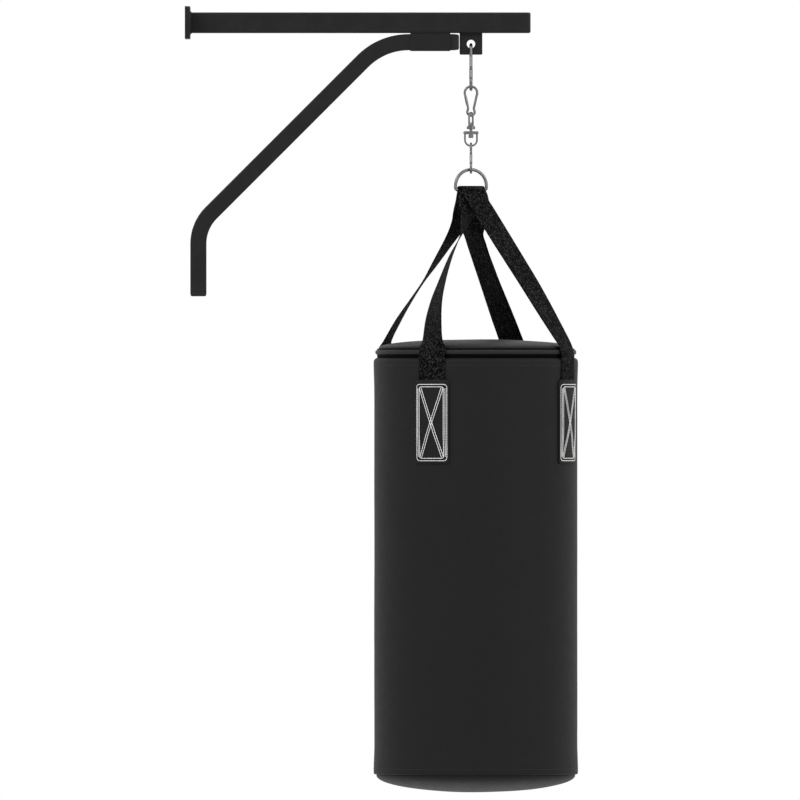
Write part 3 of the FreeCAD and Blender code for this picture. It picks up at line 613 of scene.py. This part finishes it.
def make_bottom():
    radius = (bottom_high[0] - bottom_low[0]) / 2
    drop = bottom_high[2] - bottom_low[2]
    outline = [(radius - 1.0, bottom_high[2] + 2.0)]
    for k in range(28):
        angle = math.pi / 2 * k / 28
        outline.append((radius * math.cos(angle), bottom_high[2] - (drop - 0.5) * math.sin(angle)))
    dome("bag_bottom_cover", outline, "bag_bottom", 8.0, 0.9)


def make_rim():
    """The bead round the top, on a band that is set back from it and painted dark as shade for the grooves
    beside the bead.
    """
    outer = (rim_high[0] - rim_low[0]) / 2
    neck = outer - NECK_INSET
    inside = outer - 9.0
    low = rim_low[2]
    high = rim_high[2]
    band = [(inside, low), (neck - 0.5, low), (neck, low + 0.5), (neck, high - 0.5),
            (neck - 0.5, high), (inside, high), (inside, low)]
    points, faces = revolve(band, 256)
    # The set-back band carries painted shade for the grooves beside the bead.
    piece = mesh_piece("rim_neck_painted_shade", points, faces, "bag", NECK_SHADE_VINYL)
    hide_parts("rim_band")

    outline = []
    for k in range(25):
        angle = 2 * math.pi * k / 24
        c, s = math.cos(angle), math.sin(angle)
        outline.append((outer - BEAD_DEEP + BEAD_DEEP * math.copysign(abs(c) ** 0.75, c),
                        high - BEAD_DROP + BEAD_TALL * math.copysign(abs(s) ** 0.8, s)))

    def uneven(i, angle):
        return 0.12 * waver(math.cos(angle) * 300, math.sin(angle) * 300, i * 2.0, 25.0), 0.0

    points, faces = revolve(outline, 256, uneven)
    mesh_piece("rim_bead", points, faces, "bag", RIM_VINYL)


def make_back_seam():
    """The lapped join down the back of the side, with two rows of black stitching."""
    rows = 220
    heights = np.linspace(BODY_BOTTOM + 5.0, BODY_TOP - 7.0, rows)
    section = ((-1.0, -0.6), (-0.97, 0.5), (-0.8, 0.85), (-0.5, 1.0), (0.0, 0.9),
               (0.5, 1.0), (0.8, 0.7), (1.0, -0.6))
    points = []
    for z in heights:
        lift = 0.12 * waver(0.0, 5.0, z, 22.0)
        for a, h in section:
            points.append(on_bag(180.0, a * SEAM_WIDE / 2, z, h * SEAM_PROUD + lift))
    mesh_piece("back_seam", points, grid_faces(rows, len(section)), "bag", BODY_VINYL)

    def surface(across, z, lift):
        return on_bag(180.0, across, z, SEAM_PROUD + lift)

    stitch_rows = [resampled([(a, heights[0] + 6), (a, heights[-1] - 6)], 4.0) for a in (-4.0, 4.0)]
    points, faces = stitch_mesh(stitch_rows, surface, 0.45, 0.72)
    mesh_piece("back_seam_stitches", points, faces, "bag", BLACK_THREAD)


def make_hem_stitches():
    """Rows of black stitching above the bottom hem and round the shoulder."""
    def surface(across, z, lift):
        return on_bag(0.0, across, z, lift)

    around = 2 * math.pi * BODY_R
    rows = [resampled([(0.0, z), (around, z)], 4.2) for z in (BODY_BOTTOM + 9.0, BODY_TOP - 12.0)]
    points, faces = stitch_mesh(rows, surface, 0.42, 0.72)
    mesh_piece("hem_stitches", points, faces, "bag", BLACK_THREAD)


make_body()
make_top()
make_bottom()
make_rim()
make_back_seam()
make_hem_stitches()


# ---------------------------------------------------------------- webbing

def ring_normal():
    """The level direction that the D-ring faces, towards the front."""
    return flat_direction(BAG_TURN - 90)


def leg_rows(leg, loop_r, front):
    """(centre, level direction across, width, hug) down one leg, from below the ring to its end."""
    outward = flat_direction(leg["azimuth"] - 90)
    axis = np.array((BAG_X, 0.0, 0.0))
    lean = math.radians(LEG_LEAN)
    loop_side = ring_normal() * (front * math.cos(lean)) + UP * math.sin(lean)
    start = np.array((HANG_X, 0.0, BAR_Z)) + loop_side * loop_r
    web_r = BODY_R + WEB_THICK / 2 + WEB_GAP
    rim = axis + outward * (web_r - LEG_RIM_INSET) + UP * (rim_high[2] + LEG_RIM_RISE)
    rows = []
    for share in LEG_SHARES:
        centre = start + (rim - start) * share
        centre = centre + np.array((between(leg["bows"], share, 1), between(leg["bows"], share, 2), 0.0))
        angle = BAG_TURN + between(leg["turns"], share)
        width = WEB_WIDE_AT_RING + (WEB_WIDE - WEB_WIDE_AT_RING) * min(share * 3, 1)
        rows.append((centre, flat_direction(angle), width, 0))
    last = flat_direction(BAG_TURN + leg["last_turn"])
    for inset, z, hug in LEG_OVER_RIM:
        rows.append((axis + outward * (web_r - inset) + UP * z, last, WEB_WIDE, hug))
    return start, rows


def level_cuts(start, rows):
    """Rows of points across the webbing, as level cuts through it."""
    centres = [start] + [row[0] for row in rows] + [rows[-1][0] - UP * 10]
    cuts = []
    for i, (centre, flat, width, hug) in enumerate(rows):
        along = unit(centres[i] - centres[i + 2])
        across = flat / math.sqrt(1 - float(flat @ along) ** 2)
        thick = unit(np.array((centre[0] - BAG_X, centre[1], 0.0))) if hug else np.zeros(3)
        steps = np.linspace(-1, 1, WEB_COLUMNS) * width / 2
        cuts.append([centre + across * x - thick * (hug * x * x / (2 * BODY_R)) for x in steps])
    return cuts


def loop_cuts(loop_r):
    """Rows of points across the webbing over the ring's bar, from the front to the back."""
    cuts = []
    for k in range(LOOP_STEPS + 1):
        angle = math.radians(LEG_LEAN + (180 - 2 * LEG_LEAN) * k / LOOP_STEPS)
        outward = ring_normal() * math.cos(angle) + UP * math.sin(angle)
        centre = np.array((HANG_X, 0.0, BAR_Z)) + outward * loop_r
        steps = np.linspace(-1, 1, WEB_COLUMNS) * WEB_WIDE_AT_RING / 2
        cuts.append([centre + flat_direction(BAG_TURN) * x for x in steps])
    return cuts


def smoothed(cuts, step):
    """A smooth sheet through rows of points: a centripetal spline down each column."""
    cuts = np.array(cuts)
    middle = cuts[:, cuts.shape[1] // 2]
    padded = np.concatenate((2 * cuts[:1] - cuts[1:2], cuts, 2 * cuts[-1:] - cuts[-2:-1]))
    rows = []
    for i in range(len(cuts) - 1):
        p0, p1, p2, p3 = padded[i:i + 4]
        gap = np.linalg.norm(middle[i + 1] - middle[i])
        t0 = 0.0
        t1 = t0 + max(np.linalg.norm(p1 - p0, axis=1).mean(), 1e-3) ** 0.5
        t2 = t1 + max(np.linalg.norm(p2 - p1, axis=1).mean(), 1e-3) ** 0.5
        t3 = t2 + max(np.linalg.norm(p3 - p2, axis=1).mean(), 1e-3) ** 0.5
        count = max(int(math.ceil(gap / step)), 1)
        for k in range(count):
            t = t1 + (t2 - t1) * k / count
            a1 = p0 * (t1 - t) / (t1 - t0) + p1 * (t - t0) / (t1 - t0)
            a2 = p1 * (t2 - t) / (t2 - t1) + p2 * (t - t1) / (t2 - t1)
            a3 = p2 * (t3 - t) / (t3 - t2) + p3 * (t - t2) / (t3 - t2)
            b1 = a1 * (t2 - t) / (t2 - t0) + a2 * (t - t0) / (t2 - t0)
            b2 = a2 * (t3 - t) / (t3 - t1) + a3 * (t - t1) / (t3 - t1)
            rows.append(b1 * (t2 - t) / (t2 - t1) + b2 * (t - t1) / (t2 - t1))
    rows.append(cuts[-1])
    return np.array(rows)


def make_strap(name, first, second, loop_r):
    """One strap: up one leg, over the ring's bar and down the other, as a woven band."""
    front = level_cuts(*leg_rows(LEGS[first], loop_r, 1))
    back = level_cuts(*leg_rows(LEGS[second], loop_r, -1))
    sheet = smoothed(front[::-1] + loop_cuts(loop_r) + back, WEB_STEP)
    down = np.gradient(sheet, axis=0)
    across = np.gradient(sheet, axis=1)
    normal = np.cross(down, across)
    normal /= np.linalg.norm(normal, axis=2)[:, :, None]
    share = np.abs(np.linspace(-1, 1, WEB_COLUMNS))
    half = WEB_THICK / 2 * np.where(share > 0.99, 0.35, 1.0)
    strides = np.linalg.norm(np.diff(sheet[:, WEB_COLUMNS // 2], axis=0), axis=1)
    along = np.concatenate(([0.0], np.cumsum(strides)))
    width = np.linalg.norm(sheet[:, -1] - sheet[:, 0], axis=1)
    points = []
    uvs = []
    for i, row in enumerate(sheet):
        x = np.linspace(-0.5, 0.5, WEB_COLUMNS) * min(width[i], WEB_WIDE)
        for side, order in ((1, range(WEB_COLUMNS)), (-1, range(WEB_COLUMNS - 1, -1, -1))):
            for j in order:
                points.append(row[j] + normal[i, j] * half[j] * side)
                uvs.append((x[j], along[i]))
    ring = 2 * WEB_COLUMNS
    faces = grid_faces(len(sheet), ring, wrap=True)
    faces.append(tuple(range(ring))[::-1])
    faces.append(tuple(range((len(sheet) - 1) * ring, len(sheet) * ring)))
    piece = mesh_piece(name.replace("strap", "webbing"), points, faces, "bag", WEBBING, uvs)
    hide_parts(name)


for strap, (first, second, loop_r) in STRAPS.items():
    make_strap(strap, first, second, loop_r)


# ---------------------------------------------------------------- sewn patches

def patch_height(across, z, seed):
    """How far a patch's face stands out from the bag: over the webbing's end, then down to the bag."""
    over = 1 / (1 + math.exp(-(WEB_WIDE / 2 + 1.5 - abs(across)) / 0.9))
    under = 1 / (1 + math.exp(-(z + 650.0) / 5.0))
    lift = PATCH_THICK + 0.15 + (WEB_THICK + WEB_GAP) * over * under
    return lift + 0.1 * waver(across, z, seed, 17.0)


def stitch_rows():
    """The stitched box, its inner box, a row inside each side, and the doubled cross."""
    outer = rounded_box(*OUTER_BOX, 4.5, BOX_CENTRE_Z)
    inner = rounded_box(*INNER_BOX, 3.0, BOX_CENTRE_Z)
    rows = [outer, inner]
    side_x = OUTER_BOX[0] / 2 - SIDE_ROW_INSET
    side_z = OUTER_BOX[1] / 2 - 6.0
    for side in (-1, 1):
        rows.append([(side * side_x, BOX_CENTRE_Z - side_z), (side * side_x, BOX_CENTRE_Z + side_z)])
    x = INNER_BOX[0] / 2 - 1.2
    z = INNER_BOX[1] / 2 - 1.2
    for side in (-1, 1):
        for shift in (-CROSS_SPREAD, CROSS_SPREAD):
            ends = [(side * -x, BOX_CENTRE_Z - z), (side * x, BOX_CENTRE_Z + z)]
            rows.append([(a + shift * (1 if a * shift < 0 else 0.6), b) for a, b in ends])
    return [resampled(row, STITCH_PITCH) for row in rows]


def make_patch(name, azimuth, seed):
    """A vinyl patch sewn over the end of the webbing."""
    half = PATCH_WIDE / 2
    columns = 59
    heights = np.linspace(PATCH_BOTTOM, PATCH_TOP, 130)
    points = []
    rows = len(heights) + 2
    steps = np.concatenate(([-half], np.linspace(-half, half, columns), [half]))
    levels = np.concatenate(([PATCH_BOTTOM], heights, [PATCH_TOP]))
    for i, z in enumerate(levels):
        for j, a in enumerate(steps):
            x, y = a, z
            corner_x = abs(a) - (half - PATCH_CORNER)
            corner_z = max(PATCH_BOTTOM + PATCH_CORNER - z, z - PATCH_TOP + PATCH_CORNER)
            if corner_x > 0 and corner_z > 0 and math.hypot(corner_x, corner_z) > PATCH_CORNER:
                shrink = PATCH_CORNER / math.hypot(corner_x, corner_z)
                x = math.copysign(half - PATCH_CORNER + corner_x * shrink, a)
                inward = corner_z * (1 - shrink)
                y = z + inward if z < BOX_CENTRE_Z else z - inward
            skirt = i in (0, rows - 1) or j in (0, len(steps) - 1)
            edge = min(half - abs(a), z - PATCH_BOTTOM, PATCH_TOP - z)
            height = -0.4 if skirt else patch_height(x, y, seed) - 0.3 * math.exp(-edge / 0.5)
            points.append(on_bag(azimuth, x, y, height))
    faces = grid_faces(rows, len(steps))
    piece = mesh_piece("sewn_" + name, points, faces, "bag", PATCH_VINYL)
    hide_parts(name)

    def surface(across, z, lift):
        return on_bag(azimuth, across, z, patch_height(across, z, seed) + lift)

    points, faces = stitch_mesh(stitch_rows(), surface, THREAD_R, STITCH_LONG / STITCH_PITCH)
    mesh_piece("stitches_" + name, points, faces, "bag", WHITE_THREAD)


for seed, (leg_name, leg) in enumerate(LEGS.items()):
    make_patch("patch_" + leg_name, leg["azimuth"], 10.0 * seed)


# ---------------------------------------------------------------- weld beads

def weld_bead(name, start, end, inward, radius):
    """A rippled fillet along a joint line; inward points out of the corner that it fills."""
    start = np.array(start, float)
    end = np.array(end, float)
    length = np.linalg.norm(end - start)
    along = unit(end - start)
    out = unit(np.array(inward, float))
    side = np.cross(along, out)
    count = int(length / 0.4) + 2
    sides = 10
    points = []
    for i in range(count):
        s = length * i / (count - 1)
        taper = min(1.0, 0.35 + min(s, length - s) / radius * 0.5)
        ripple = 1 + 0.09 * abs(math.sin(math.pi * s / 1.7)) + 0.05 * waver(s, start[0], start[1], 3.0)
        for k in range(sides):
            angle = 2 * math.pi * k / sides
            ring = out * math.cos(angle) * 0.8 + side * math.sin(angle)
            arc = along * (-0.5 * abs(math.sin(angle)))
            points.append(start + along * s + (ring * ripple + arc * 0.6) * radius * taper)
    faces = grid_faces(count, sides, wrap=True)
    faces.append(tuple(range(sides))[::-1])
    faces.append(tuple(range((count - 1) * sides, count * sides)))
    mesh_piece(name, points, faces, "bracket", PAINT)


def make_welds():
    plate_x = plate_high[0]
    side = arm_high[1]
    for k, (y, z) in enumerate(((1, 0), (0, 1), (-1, 0), (0, -1))):
        middle = np.array((plate_x, y * side, z * side))
        run = np.array((0.0, z, y)) * (side - 2.5)
        weld_bead(f"plate_weld_{k}", middle - run, middle + run, (1, y, z), 2.3)
    for k, y in enumerate((lug_low[1], lug_high[1])):
        outward = math.copysign(1, y)
        weld_bead(f"lug_weld_{k}", (lug_low[0] + 1.5, y, arm_low[2]), (lug_high[0] - 1.5, y, arm_low[2]),
                  (0, outward, -1), 2.0)
    for k, y in enumerate((sleeve_low[1], sleeve_high[1])):
        outward = math.copysign(1, y)
        weld_bead(f"sleeve_weld_{k}", (sleeve_low[0] + 2, y, arm_low[2]),
                  (sleeve_high[0] - 2, y, arm_low[2]),
                  (0, outward, -1), 1.2)


make_welds()


# ---------------------------------------------------------------- studio

VIEW_WIDTH = 1.24
VIEW_CENTRE = (0.3331, -0.5847)
VIEW_LENS = 1500.0
SENSOR = 36.0


def make_floor():
    """A pale floor some way below the bag, small enough to stay out of a level view."""
    size = 7.0
    z = cad_low.z - 0.5
    mesh = bpy.data.meshes.new("floor")
    corners = [(-size, -size, z), (size, -size, z), (size, size, z), (-size, size, z)]
    mesh.from_pydata(corners, [], [(0, 1, 2, 3)])
    floor = bpy.data.objects.new("floor", mesh)
    bpy.context.scene.collection.objects.link(floor)
    s = Surface("pale_floor", Specular_IOR_Level=0.1)
    mesh.materials.append(s.finish((0.74, 0.74, 0.74, 1.0), 0.9, s.bump(s.noise(3.0), 0.5, 0.1)))


def make_world():
    """White all round at eye level, brighter overhead and dimmer below."""
    world = bpy.data.worlds.new("studio")
    bpy.context.scene.world = world
    world.use_nodes = True
    tree = world.node_tree
    back = tree.nodes["Background"]
    direction = tree.nodes.new("ShaderNodeTexCoord").outputs["Generated"]
    split = tree.nodes.new("ShaderNodeSeparateXYZ")
    tree.links.new(direction, split.inputs[0])
    ramp = tree.nodes.new("ShaderNodeValToRGB")
    ramp.color_ramp.elements[0].position = 0.0
    ramp.color_ramp.elements[0].color = (0.35, 0.35, 0.35, 1)
    ramp.color_ramp.elements[1].position = 1.0
    ramp.color_ramp.elements[1].color = (1, 1, 1, 1)
    middle = ramp.color_ramp.elements.new(0.47)
    middle.color = (1, 1, 1, 1)
    lower = ramp.color_ramp.elements.new(0.40)
    lower.color = (0.6, 0.6, 0.6, 1)
    height = tree.nodes.new("ShaderNodeMath")
    height.operation = "MULTIPLY_ADD"
    height.inputs[1].default_value = 0.5
    height.inputs[2].default_value = 0.5
    tree.links.new(split.outputs["Z"], height.inputs[0])
    tree.links.new(height.outputs[0], ramp.inputs[0])
    tree.links.new(ramp.outputs[0], back.inputs["Color"])
    back.inputs["Strength"].default_value = 1.0


def area_light(name, place, size, power):
    """A soft square light that faces the middle of the object."""
    data = bpy.data.lights.new(name, "AREA")
    data.shape = "SQUARE"
    data.size = size
    data.energy = power
    light = bpy.data.objects.new(name, data)
    bpy.context.scene.collection.objects.link(light)
    light.location = place
    aim = Vector((VIEW_CENTRE[0], 0.0, VIEW_CENTRE[1])) - Vector(place)
    light.rotation_euler = aim.to_track_quat("-Z", "Y").to_euler()


def make_camera():
    data = bpy.data.cameras.new("camera")
    camera = bpy.data.objects.new("camera", data)
    bpy.context.scene.collection.objects.link(camera)
    data.sensor_width = SENSOR
    data.lens = VIEW_LENS
    distance = VIEW_WIDTH * VIEW_LENS / SENSOR
    camera.location = (VIEW_CENTRE[0], -distance, VIEW_CENTRE[1])
    camera.rotation_euler = (math.radians(90), 0.0, 0.0)
    data.clip_start = 1.0
    data.clip_end = 200.0
    bpy.context.scene.camera = camera


make_floor()
make_world()
area_light("key", (-1.6, -2.6, 1.6), 1.6, 38.0)
area_light("fill", (2.8, -2.0, 0.6), 1.8, 20.0)
area_light("top", (0.6, 0.4, 2.4), 1.4, 20.0)
make_camera()
bpy.context.scene.view_settings.view_transform = "Standard"
